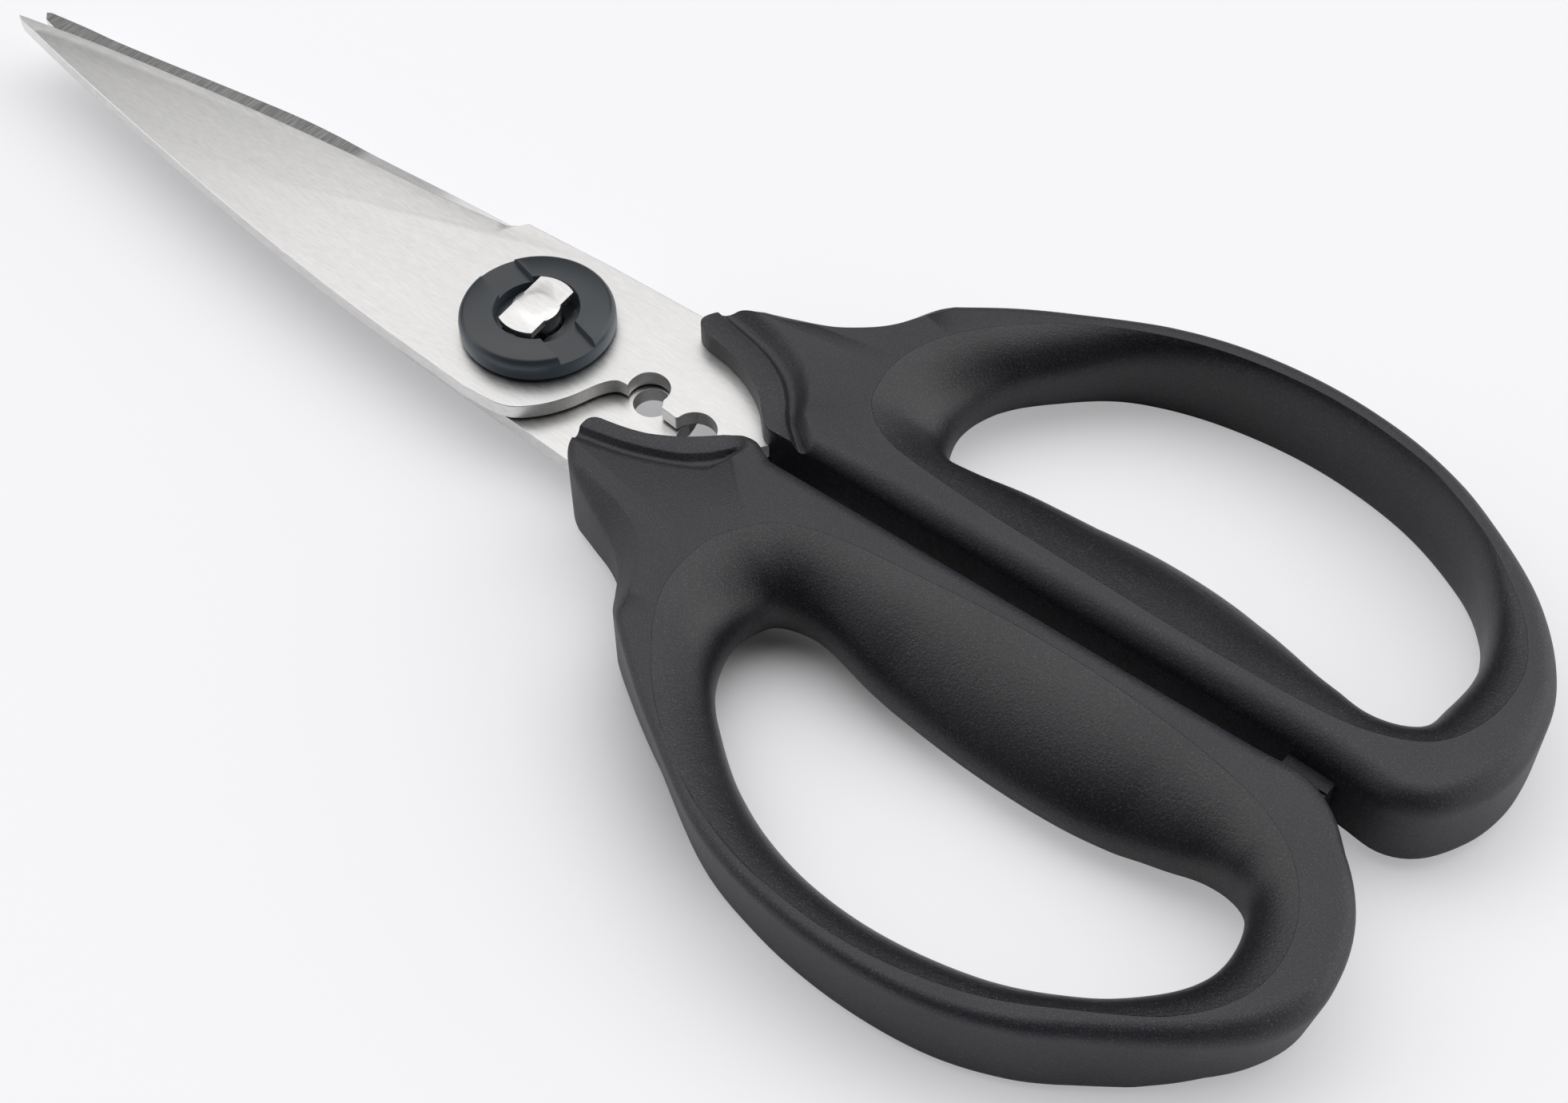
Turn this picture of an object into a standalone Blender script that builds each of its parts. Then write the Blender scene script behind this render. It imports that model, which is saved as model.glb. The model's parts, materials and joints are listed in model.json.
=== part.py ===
"""Herb scissors: two blades on a keyed pivot, and two looped handles with soft liners.

World frame: +X from the tips to the loops, +Z up from the table, the origin under the middle of the box.
Each piece is made about the pivot, in millimetres, and its object's origin lies on the pivot's axis.
"""

import math

import bmesh
import bpy
from mathutils import Vector

MM = 0.001

# Driving dimensions in millimetres
HANDLE_THICKNESS = 12.0
BLADE_THICKNESS = 2.0
PIVOT_TO_TIP = 94.0
PIVOT_TO_LOOP_END = 118.8
LOOP_REACH = 46.5
UPPER_LOOP_EXTRA = 2.6
LOWER_SHIFT = (-1.0, 0.3)
LOWER_LEAN = 0.06
LOWER_NARROWING = 0.055
HANDLE_GAP = 3.6
HANDLE_SKEW = math.radians(1.5)
CONTACT = 0.3

# Heights that follow from them
MIDDLE = HANDLE_THICKNESS / 2
UPPER_BOTTOM = MIDDLE + CONTACT / 2
UPPER_TOP = UPPER_BOTTOM + BLADE_THICKNESS
LOWER_TOP = MIDDLE - CONTACT / 2
LOWER_BOTTOM = LOWER_TOP - BLADE_THICKNESS

# The blades
BLADE_HALF_WIDTH = 12.6
BEVEL_WIDTH = 2.4
BEVEL_DROP = 0.45
NOTCHES = (((16.8, 0.75), 2.5), ((25.05, -0.8), 2.65))
LOWER_EYE = ((17.1, -0.8), 2.2)
LOWER_NOTCH = ((25.1, 0.0), 2.7)
TANG_END = 39.0

# The pivot
RING_RADIUS = 9.3
RING_SLANT = 0.85
RING_SHOULDER = 0.5
RING_HEIGHT = 3.1
RING_FOOT = 0.2
RING_FOOT_RISE = 0.3
RING_BORE = 5.1
SPIGOT_RADIUS = 6.2
LEDGE_DEPTH = 0.8
SLOT_WIDTH = 5.5
SLOT_DEPTH = 0.5
SLOT_ANGLE = math.radians(-14)
STUD_RADIUS = 3.2
STUD_EDGE = 0.3
WING_REACH = 4.7
WING_WIDTH = 4.8
WING_ANGLE = math.radians(96)
WING_RISE = 0.5
WING_STEP = 0.2
HEAD_RADIUS = 6.0
HEAD_THICKNESS = 1.5
HEAD_EDGE = 0.6

# The handles
EDGE_ROUND = 1.5
RIB_DROP = 1.05
GROOVE_DROP = 1.75
RIB_BAND = 4.2
SCALLOP_WIDTH = 1.3
SCALLOP_DROP = 1.9
LINER_BREAK = math.radians(22)
CUSHION_WAIST = 3.2

# The stops
STOP_START = 101.2
STOP_LENGTH = 5.6
STOP_HEIGHT = 4.0
STOP_ROOT = 1.6
BLOCK_REACH = 2.05

PROFILE_STEPS = 6
LINER_STEPS = 8


def clear_scene():
    for old in list(bpy.data.objects):
        bpy.data.objects.remove(old, do_unlink=True)


def between(corners, t):
    """The point at this share of the way from the second corner to the third, on a smooth line through all four."""
    return tuple(
        b + t * (c - a) / 2 + t * t * (a - 2.5 * b + 2 * c - d / 2) + t**3 * (1.5 * (b - c) + (d - a) / 2)
        for a, b, c, d in zip(*corners)
    )


def spline(points, steps):
    """A smooth line through the points, from the first to the last, with the steps between each two."""
    ends = [
        tuple(2 * a - b for a, b in zip(points[0], points[1])),
        tuple(2 * a - b for a, b in zip(points[-1], points[-2])),
    ]
    row = [ends[0], *points, ends[1]]
    out = []
    for k in range(1, len(row) - 2):
        out += [between(row[k - 1 : k + 3], step / steps) for step in range(steps)]
    out.append(tuple(points[-1]))
    return out


def arc(centre, radius, start, end, steps):
    """Points on a circle from one angle to the other, in degrees."""
    angles = [math.radians(start + (end - start) * k / steps) for k in range(steps + 1)]
    return [(centre[0] + radius * math.cos(a), centre[1] + radius * math.sin(a)) for a in angles]


def turned(points, angle):
    c, s = math.cos(angle), math.sin(angle)
    return [(x * c - y * s, x * s + y * c) for x, y in points]


def add_object(name, bm, hidden=False):
    """An object from the mesh, with its faces outward."""
    bmesh.ops.recalc_face_normals(bm, faces=bm.faces)
    mesh = bpy.data.meshes.new(name)
    bm.to_mesh(mesh)
    bm.free()
    obj = bpy.data.objects.new(name, mesh)
    bpy.context.scene.collection.objects.link(obj)
    if hidden:
        obj.hide_render = True
        obj.display_type = "WIRE"
    return obj


def prism(outline, bottom, top):
    """A mesh of the outline between two heights."""
    bm = bmesh.new()
    low = [bm.verts.new(Vector((x, y, bottom)) * MM) for x, y in outline]
    face = bm.faces.new(low)
    raised = bmesh.ops.extrude_face_region(bm, geom=[face])
    moved = [item for item in raised["geom"] if isinstance(item, bmesh.types.BMVert)]
    bmesh.ops.translate(bm, verts=moved, vec=Vector((0, 0, top - bottom)) * MM)
    return bm


def loft(rows, ring):
    """A skin through closed rows of equal length: a ring, or a bar with both of its ends capped."""
    bm = bmesh.new()
    grid = [[bm.verts.new(Vector(point) * MM) for point in row] for row in rows]
    for row, after in zip(grid, grid[1:] + grid[:1] if ring else grid[1:]):
        for j, vert in enumerate(row):
            k = (j + 1) % len(row)
            bm.faces.new((vert, row[k], after[k], after[j]))
    if not ring:
        bm.faces.new(grid[0])
        bm.faces.new(grid[-1])
    return bm


def lathe(profile, steps):
    """A turned body from (radius, height) points, with those at radius 0 on the axis."""
    bm = bmesh.new()
    verts = [bm.verts.new(Vector((r, 0, z)) * MM) for r, z in profile]
    edges = [bm.edges.new(pair) for pair in zip(verts, verts[1:])]
    if profile[0][0] > 0:
        edges.append(bm.edges.new((verts[-1], verts[0])))
    bmesh.ops.spin(
        bm,
        geom=verts + edges,
        cent=(0, 0, 0),
        axis=(0, 0, 1),
        angle=math.tau,
        steps=steps,
        use_merge=True,
        use_duplicate=False,
    )
    bmesh.ops.remove_doubles(bm, verts=bm.verts, dist=0.001 * MM)
    return bm


def box(x, y, z, angle=0.0):
    """A block between the limits of each pair, turned about the pivot."""
    corners = [(x[0], y[0]), (x[1], y[0]), (x[1], y[1]), (x[0], y[1])]
    return prism(turned(corners, angle), z[0], z[1])


def cut(obj, cutter, operation="DIFFERENCE"):
    change = obj.modifiers.new(cutter.name, "BOOLEAN")
    change.operation = operation
    change.solver = "EXACT"
    change.object = cutter


def paint(obj, name, colour, roughness, metallic):
    material = bpy.data.materials.new(name)
    material.use_nodes = True
    shader = material.node_tree.nodes["Principled BSDF"]
    shader.inputs["Base Color"].default_value = (*colour, 1)
    shader.inputs["Roughness"].default_value = roughness
    shader.inputs["Metallic"].default_value = metallic
    obj.data.materials.append(material)


def smooth(obj, angle):
    for face in obj.data.polygons:
        face.use_smooth = True
    obj.data.set_sharp_from_angle(angle=math.radians(angle))


# The blade's outlines, for the upper blade. The lower one mirrors them in y.
TIP = (-PIVOT_TO_TIP, -1.7)
EDGE_LINE = [(-92.6, -1.0), (-80.0, 1.3), (-60.0, 4.6), (-40.0, 7.5), (-25.0, 9.4), (-15.0, 10.4)]
SPINE_LINE = [(-92.6, -2.3), (-80.0, -4.4), (-60.0, -7.3), (-40.0, -9.8), (-20.0, -11.6), (0.0, -BLADE_HALF_WIDTH)]
BULGE_LINE = [
    (0.0, -BLADE_HALF_WIDTH), (5.5, -11.9), (8.5, -9.5), (10.5, -6.2), (11.8, -2.6), (13.0, -0.8), (14.5, -0.4),
]
TANG_LINE = [(28.0, -0.6), (31.2, -0.2), (32.4, 1.6), (34.0, 3.8), (TANG_END, 4.2), (TANG_END, 10.0)]
SHOULDER_LINE = [(18.5, 10.7), (15.6, 11.2), (13.9, 13.4), (0.0, 12.9), (-13.0, 12.0), (-13.7, 10.9)]


def upper_outline():
    first, second = NOTCHES
    return [
        TIP,
        *spline(SPINE_LINE, 3)[:-1],
        *spline(BULGE_LINE, 2)[:-1],
        *arc(*first, 209, -8, 14),
        (19.85, -0.55),
        (22.2, -0.75),
        *arc(*second, 176, 4, 12),
        *TANG_LINE,
        *SHOULDER_LINE,
        *reversed(spline(EDGE_LINE, 3)),
    ]


def lower_outline():
    lobe = [(9.5, -8.1), (13.5, -6.8), (18.0, -6.4), (21.0, -5.0), (22.2, -2.6), (22.6, -1.0)]
    return [
        TIP,
        *spline(SPINE_LINE, 3)[:-1],
        *spline(BULGE_LINE[:3], 2)[:-1],
        *spline(lobe, 2),
        *arc(*LOWER_NOTCH, 180, -18, 12),
        *TANG_LINE,
        *SHOULDER_LINE,
        *reversed(spline(EDGE_LINE, 3)),
    ]


def blade(name, outline, bottom, hole, mirrored):
    side = -1 if mirrored else 1
    outline = [(x, side * y) for x, y in outline]
    obj = add_object(name, prism(outline, bottom, bottom + BLADE_THICKNESS))
    bore = add_object(f"{name}_bore", prism(arc((0, 0), hole, 0, 360, 48)[:-1], 0, HANDLE_THICKNESS), hidden=True)
    cut(obj, bore)
    face = bottom if mirrored else bottom + BLADE_THICKNESS
    away = -1 if mirrored else 1
    rows = []
    for x, y in spline(EDGE_LINE, 3):
        out = 3.0
        slope = BEVEL_DROP / BEVEL_WIDTH
        rows.append(
            [
                (x, side * (y - BEVEL_WIDTH), face),
                (x, side * (y + out), face - away * slope * (BEVEL_WIDTH + out)),
                (x, side * (y + out), face + away * 2),
                (x, side * (y - BEVEL_WIDTH), face + away * 2),
            ]
        )
    rows.insert(0, [(-PIVOT_TO_TIP - 4, y, z) for x, y, z in rows[0]])
    last = rows[-1]
    rows.append([(x + 1.2, y + side * 1.0, z + away * BEVEL_DROP) for x, y, z in last])
    cut(obj, add_object(f"{name}_grind", loft(rows, ring=False), hidden=True))
    if mirrored:
        eye = [(x, side * y) for x, y in arc(*LOWER_EYE, 0, 360, 24)[:-1]]
        cut(obj, add_object(f"{name}_eye", prism(eye, 0, HANDLE_THICKNESS), hidden=True))
    return obj


def pivot_ring():
    base = UPPER_TOP + CONTACT
    top = UPPER_TOP + RING_HEIGHT
    ledge_top = top - LEDGE_DEPTH
    ledge_bore = STUD_RADIUS + CONTACT
    profile = [
        (ledge_bore, UPPER_BOTTOM),
        (SPIGOT_RADIUS, UPPER_BOTTOM),
        (SPIGOT_RADIUS, base),
        (RING_RADIUS - RING_FOOT, base),
        (RING_RADIUS, base + RING_FOOT_RISE),
        (RING_RADIUS, top - RING_SLANT - RING_SHOULDER),
        (RING_RADIUS - 0.33 * RING_SLANT, top - 0.4 * RING_SLANT),
        (RING_RADIUS - RING_SLANT, top),
        (RING_BORE, top),
        (RING_BORE, ledge_top),
        (ledge_bore, ledge_top),
    ]
    obj = add_object("pivot_ring", lathe(profile, 48))
    half = SLOT_WIDTH / 2
    wide = RING_RADIUS + 2
    slot = box((-wide, wide), (-half, half), (top - SLOT_DEPTH, top + 2), SLOT_ANGLE)
    cut(obj, add_object("ring_slot", slot, hidden=True))
    key = WING_WIDTH / 2 + CONTACT
    reach = WING_REACH + CONTACT
    keyway = box((-reach, reach), (-key, key), (0, top + 2), WING_ANGLE - math.pi / 2)
    cut(obj, add_object("ring_keyway", keyway, hidden=True))
    return obj


def pivot_stud():
    ring_top = UPPER_TOP + RING_HEIGHT
    wing_bottom = ring_top - LEDGE_DEPTH + CONTACT
    wing_top = ring_top + WING_RISE
    head_top = LOWER_BOTTOM - CONTACT
    profile = [
        (0, head_top - HEAD_THICKNESS),
        (HEAD_RADIUS - HEAD_EDGE, head_top - HEAD_THICKNESS),
        (HEAD_RADIUS, head_top - HEAD_THICKNESS + HEAD_EDGE),
        (HEAD_RADIUS, head_top),
        (STUD_RADIUS, head_top),
        (STUD_RADIUS, wing_top - STUD_EDGE),
        (STUD_RADIUS - STUD_EDGE, wing_top),
        (0, wing_top),
    ]
    obj = add_object("pivot_stud", lathe(profile, 40))
    spread = math.degrees(math.asin(WING_WIDTH / 2 / WING_REACH))
    ends = [
        *arc((0, 0), WING_REACH, -spread, spread, 6),
        *arc((0, 0), WING_REACH, 180 - spread, 180 + spread, 6),
    ]
    wings = prism(turned(ends, WING_ANGLE), wing_bottom, wing_top - WING_STEP)
    cut(obj, add_object("stud_wings", wings, hidden=True), "UNION")
    return obj


# The handle's outlines as (along, outward) from the pivot, for the lower handle
WALL = HANDLE_GAP / 2
AXIS_SIDE = [(32.9, WALL), (50.0, WALL), (80.0, WALL), (100.0, WALL), (106.0, WALL - 0.2)]
FAR_END = [
    (106.0, WALL - 0.2), (110.5, 2.1), (114.0, 4.1), (116.9, 8.1), (118.4, 13.0), (PIVOT_TO_LOOP_END, 18.0),
    (118.1, 23.0), (116.0, 27.6),
]
OUTER_SIDE = [
    (116.0, 27.6), (112.9, 32.0), (108.9, 35.9), (103.2, 39.9), (97.0, 43.3), (89.0, 45.6), (79.0, LOOP_REACH),
    (69.0, 45.6), (60.0, 42.9), (50.0, 37.8), (44.0, 34.2), (38.6, 30.2),
]
SCALLOP = [
    (38.6, 30.2), (36.3, 28.6), (34.5, 26.5), (32.8, 24.3), (31.0, 22.5), (28.6, 20.4), (25.3, 18.2), (21.7, 15.9),
]
COLLAR_SIDE = [(21.7, 15.9), (18.6, 14.2), (17.2, 12.4)]
COLLAR_END = [(17.2, 12.4), (17.6, 9.2)]
COLLAR_FRONT = [(17.6, 9.2), (21.2, 8.7), (24.3, 7.9), (26.9, 6.7), (29.3, 5.1), (31.3, 3.1), (32.9, WALL)]
CREASE = [
    (38.9, 18.4), (39.6, 13.4), (41.4, 10.4), (45.2, 7.9), (51.0, 6.9), (61.0, 6.1), (75.0, 5.7), (88.0, 6.0),
    (99.0, 7.0), (105.0, 8.2), (109.6, 11.0), (112.8, 16.0), (113.8, 22.0), (112.4, 27.4), (108.4, 32.7),
    (101.8, 38.1), (92.0, 42.7), (80.0, 44.7), (68.0, 43.6), (58.0, 40.0), (49.5, 34.5), (43.9, 28.4), (40.4, 23.4),
]
WAIST = [
    (47.6, 19.4), (48.3, 16.6), (49.6, 14.4), (52.2, 13.3), (55.6, 13.3), (63.0, 15.0), (76.0, 16.6), (88.0, 15.8),
    (98.2, 12.6), (103.6, 11.6), (107.6, 12.8), (109.6, 16.6), (110.2, 21.6), (109.2, 26.0), (105.9, 30.6),
    (100.2, 35.6), (91.6, 39.8), (80.0, 42.0), (69.5, 41.2), (60.6, 37.6), (53.6, 31.6), (49.8, 26.9), (48.0, 22.8),
]
# Each part of the outline, its steps between points, its style, and the crease's points that it faces
SECTIONS = (
    (AXIS_SIDE, 3, "plain", 2.9, 9.0),
    (FAR_END, 2, "plain", 9.0, 13.3),
    (OUTER_SIDE, 2, "plain", 13.3, 21.3),
    (SCALLOP, 2, "scallop", 21.3, 23.3),
    (COLLAR_SIDE, 2, "plain", 23.3, 23.6),
    (COLLAR_END, 1, "plain", 23.6, 23.9),
    (COLLAR_FRONT, 2, "plain", 23.9, 25.7),
)


def ring_point(points, place):
    """The point of the closed smooth line at this place, counted in its own points."""
    k = math.floor(place)
    return between([points[(k + j) % len(points)] for j in (-1, 0, 1, 2)], place - k)


def inset_profile(facet):
    """(inset, drop) from the wall up to the top: a round edge, blended into the scallop's slanted facet."""
    out = []
    for k in range(PROFILE_STEPS + 1):
        t = k / PROFILE_STEPS
        inset, drop = EDGE_ROUND * (1 - math.cos(t * math.pi / 2)), EDGE_ROUND * (1 - math.sin(t * math.pi / 2))
        inset += facet * (t * (EDGE_ROUND + SCALLOP_WIDTH) - inset)
        drop += facet * ((1 - t) * (EDGE_ROUND + SCALLOP_DROP) - drop)
        out.append((inset, drop))
    return out


def inward(before, wall, after):
    """The direction into the material at a point of the outline, as long as keeps the inset even."""
    one, two = (wall - before).normalized(), (after - wall).normalized()
    along = (one + two).normalized()
    return Vector((-along.y, along.x)) / max(0.7, along.dot(two))


def stations():
    """For each point of the outline: the wall, the way in, the profile, and the crease and waist it faces."""
    points = []
    for line, steps, style, first, last in SECTIONS:
        row = spline(line, steps)
        for k, point in enumerate(row[:-1]):
            t = k / (len(row) - 1)
            facet = math.sin(math.pi * t) if style == "scallop" else 0.0
            points.append((Vector(point), facet, first + (last - first) * t))
    out = []
    for k, (wall, facet, place) in enumerate(points):
        way = inward(points[k - 1][0], wall, points[(k + 1) % len(points)][0])
        out.append((wall, way, inset_profile(facet), ring_point(CREASE, place), ring_point(WAIST, place)))
    return out


def placed(point, z, side):
    """A point of the outlines in the pivot's frame: the upper loop is longer, and the lower one leans."""
    u, v = point
    if side > 0:
        u += UPPER_LOOP_EXTRA * max(0.0, u - 60.0) / (PIVOT_TO_LOOP_END - 60.0)
    else:
        past = v - LOOP_REACH / 2
        u += LOWER_SHIFT[0] + LOWER_LEAN * past
        v += (LOWER_SHIFT[1] - LOWER_NARROWING * past) * min(1.0, max(0.0, v - WALL) / 4)
    x, y = turned([(u, side * v)], HANDLE_SKEW)[0]
    return (x, y, z)


def handle_rows(side):
    rows = []
    for wall, way, profile, crease, _ in stations():
        upper = [(wall + way * inset, HANDLE_THICKNESS - drop) for inset, drop in profile]
        upper.append((crease, HANDLE_THICKNESS))
        lower = [(point, HANDLE_THICKNESS - z) for point, z in reversed(upper)]
        rows.append([placed(point, z, side) for point, z in lower + upper])
    return rows


def liner_rows(side):
    """The liner's section from the crease to its waist, which lies lower where the cushion is wide."""
    rows = []
    base = math.sin(LINER_BREAK)
    for *_, crease, waist in stations():
        crease, waist = Vector(crease), Vector(waist)
        outer = crease + (waist - crease).normalized() * CONTACT
        wide = min(1.0, max(0.0, (waist - crease).length - 6.0) / 5.0)
        height = MIDDLE + (CUSHION_WAIST - MIDDLE) * wide
        row = [(outer, HANDLE_THICKNESS)]
        for k in range(1, LINER_STEPS):
            phi = LINER_BREAK + (math.pi - 2 * LINER_BREAK) * k / LINER_STEPS
            share = (math.sin(phi) - base) / (1 - base)
            rise = math.cos(phi) / math.cos(LINER_BREAK)
            z = height + rise * (HANDLE_THICKNESS - height if rise > 0 else height)
            row.append((outer + (waist - outer) * share, z))
        row.append((outer, 0.0))
        rows.append([placed(point, z, side) for point, z in row])
    return rows


def rib_room(name, side, under):
    """The air over the collar's rib and groove, along its front and past both of its ends."""
    profile = [
        (-2.5, -1.0), (-2.5, RIB_DROP), (0.36 * RIB_BAND, RIB_DROP), (0.5 * RIB_BAND, GROOVE_DROP - 0.15),
        (0.6 * RIB_BAND, GROOVE_DROP), (0.74 * RIB_BAND, 0.75 * GROOVE_DROP), (0.88 * RIB_BAND, 0.4 * GROOVE_DROP),
        (RIB_BAND, 0.0), (RIB_BAND + 0.3, -1.0),
    ]
    line = [Vector(point) for point in spline(COLLAR_FRONT, 3)]
    line.insert(0, line[0] + (line[0] - line[1]).normalized() * 6)
    line.append(line[-1] + (line[-1] - line[-2]).normalized() * 8)
    rows = []
    for k, point in enumerate(line):
        way = inward(line[max(k - 1, 0)], point, line[min(k + 1, len(line) - 1)])
        row = [(point + way * inset, drop) for inset, drop in profile]
        rows.append([placed(at, drop if under else HANDLE_THICKNESS - drop, side) for at, drop in row])
    return add_object(name, loft(rows, ring=False), hidden=True)


def tang_room(name, side):
    """The slot that takes the blade's tang."""
    tang = [
        (8.0, 11.6), (8.0, -4.0), (28.0, -4.0), (32.0, 0.0), (33.8, 3.4), (TANG_END + CONTACT, 3.8),
        (TANG_END + CONTACT, 10.4), (18.5, 11.1), (16.0, 11.5),
    ]
    bottom = (UPPER_BOTTOM if side > 0 else LOWER_BOTTOM) - CONTACT / 2
    outline = [(x, side * y) for x, y in tang]
    return add_object(name, prism(outline, bottom, bottom + BLADE_THICKNESS + CONTACT), hidden=True)


def stop_limits(side, grow):
    """The block's or the pad's box, grown by the clearance for its pocket."""
    wall = HANDLE_GAP / 2
    reach = BLOCK_REACH if side > 0 else HANDLE_GAP - BLOCK_REACH - CONTACT
    v = sorted((side * (wall + STOP_ROOT + grow), side * (wall - reach - grow)))
    u = (STOP_START - grow, STOP_START + STOP_LENGTH + grow)
    z = (MIDDLE - STOP_HEIGHT / 2 - grow, MIDDLE + STOP_HEIGHT / 2 + grow)
    return u, v, z


def handle(name, side):
    obj = add_object(name, loft(handle_rows(side), ring=True))
    cut(obj, rib_room(f"{name}_rib_top", side, under=False))
    cut(obj, rib_room(f"{name}_rib_under", side, under=True))
    cut(obj, tang_room(f"{name}_tang_room", side))
    pocket = box(*stop_limits(side, CONTACT), HANDLE_SKEW)
    cut(obj, add_object(f"{name}_stop_room", pocket, hidden=True))
    return obj


def main():
    clear_scene()
    stud_hole = STUD_RADIUS + CONTACT
    ring_hole = SPIGOT_RADIUS + CONTACT
    nodes = {
        "upper_blade": blade("upper_blade", upper_outline(), UPPER_BOTTOM, ring_hole, False),
        "lower_blade": blade("lower_blade", lower_outline(), LOWER_BOTTOM, stud_hole, True),
        "pivot_ring": pivot_ring(),
        "pivot_stud": pivot_stud(),
        "upper_handle": handle("upper_handle", 1),
        "lower_handle": handle("lower_handle", -1),
        "upper_liner": add_object("upper_liner", loft(liner_rows(1), ring=True)),
        "lower_liner": add_object("lower_liner", loft(liner_rows(-1), ring=True)),
        "upper_stop": add_object("upper_stop", box(*stop_limits(1, 0.0), HANDLE_SKEW)),
        "lower_stop": add_object("lower_stop", box(*stop_limits(-1, 0.0), HANDLE_SKEW)),
    }
    looks = {
        "upper_blade": ((0.62, 0.61, 0.6), 0.34, 1.0),
        "lower_blade": ((0.58, 0.57, 0.56), 0.36, 1.0),
        "pivot_ring": ((0.035, 0.042, 0.047), 0.42, 0.0),
        "pivot_stud": ((0.7, 0.68, 0.65), 0.3, 1.0),
        "upper_handle": ((0.038, 0.039, 0.042), 0.55, 0.0),
        "lower_handle": ((0.038, 0.039, 0.042), 0.55, 0.0),
        "upper_liner": ((0.03, 0.031, 0.034), 0.68, 0.0),
        "lower_liner": ((0.03, 0.031, 0.034), 0.68, 0.0),
        "upper_stop": ((0.02, 0.02, 0.022), 0.6, 0.0),
        "lower_stop": ((0.02, 0.02, 0.022), 0.6, 0.0),
    }
    bpy.context.view_layer.update()
    low, high = Vector((1e9, 1e9, 1e9)), Vector((-1e9, -1e9, -1e9))
    for name, obj in nodes.items():
        paint(obj, f"{name}_look", *looks[name])
        smooth(obj, 32)
        for vert in obj.data.vertices:
            low = Vector(map(min, low, vert.co))
            high = Vector(map(max, high, vert.co))
    centre = (low + high) / 2
    pivot = Vector((-centre.x, -centre.y, -low.z))
    for obj in bpy.data.objects:
        obj.location = pivot
    print("pivot at", tuple(round(c * 1000, 3) for c in pivot), "size", tuple(round(c * 1000, 2) for c in high - low))


main()
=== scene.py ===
"""Herb scissors, dressed: finer blades, pivot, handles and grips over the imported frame, and a pale studio.

Lengths are in millimetres about the pivot, as in the part's source: +X from the tips to the loops,
+Y to the upper handle and Z up from the table. An outline of a handle is (along, outward) from the pivot.
"""

import json
import math

import bmesh
import bpy
from bpy.props import FloatProperty, FloatVectorProperty, PointerProperty
from mathutils import Matrix, Vector

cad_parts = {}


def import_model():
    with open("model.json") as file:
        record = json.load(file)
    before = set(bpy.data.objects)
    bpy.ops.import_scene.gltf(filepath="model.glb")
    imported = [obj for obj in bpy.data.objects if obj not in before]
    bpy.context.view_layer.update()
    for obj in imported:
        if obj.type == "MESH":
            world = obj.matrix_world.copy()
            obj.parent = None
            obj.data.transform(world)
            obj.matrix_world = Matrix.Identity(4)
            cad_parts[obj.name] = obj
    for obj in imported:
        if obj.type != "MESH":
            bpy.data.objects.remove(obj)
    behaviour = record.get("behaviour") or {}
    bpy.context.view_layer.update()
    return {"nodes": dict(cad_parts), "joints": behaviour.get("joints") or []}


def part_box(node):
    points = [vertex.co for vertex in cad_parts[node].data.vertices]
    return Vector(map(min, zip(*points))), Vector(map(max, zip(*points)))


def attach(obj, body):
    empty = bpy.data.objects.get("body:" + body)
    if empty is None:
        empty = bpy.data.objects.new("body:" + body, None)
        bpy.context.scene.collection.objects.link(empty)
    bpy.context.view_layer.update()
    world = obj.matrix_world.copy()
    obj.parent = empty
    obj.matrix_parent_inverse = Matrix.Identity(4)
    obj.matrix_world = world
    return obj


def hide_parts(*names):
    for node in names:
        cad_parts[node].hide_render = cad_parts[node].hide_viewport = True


bl_info = {
    "name": "Herb scissors",
    "version": (1, 0, 0),
    "blender": (4, 5, 0),
    "location": "3D View > Sidebar > Scissors",
    "description": "Dresses the packed herb scissors and lays them in a pale studio",
    "category": "Object",
}

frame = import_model()
MM = 0.001
PIVOT = Vector(frame["joints"][0]["pos_m"]) * Vector((1, 1, 0))

# Heights and reaches that the frame gives, in millimetres
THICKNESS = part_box("upper_handle")[1].z / MM
MIDDLE = THICKNESS / 2
UPPER_BOTTOM, UPPER_TOP = (corner.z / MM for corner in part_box("upper_blade"))
LOWER_BOTTOM, LOWER_TOP = (corner.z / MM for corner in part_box("lower_blade"))
RING_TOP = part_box("pivot_ring")[1].z / MM
RING_RADIUS = (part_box("pivot_ring")[1].x - PIVOT.x) / MM
HEAD_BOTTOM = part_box("pivot_stud")[0].z / MM
TIP_X = (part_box("upper_blade")[0].x - PIVOT.x) / MM


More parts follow.
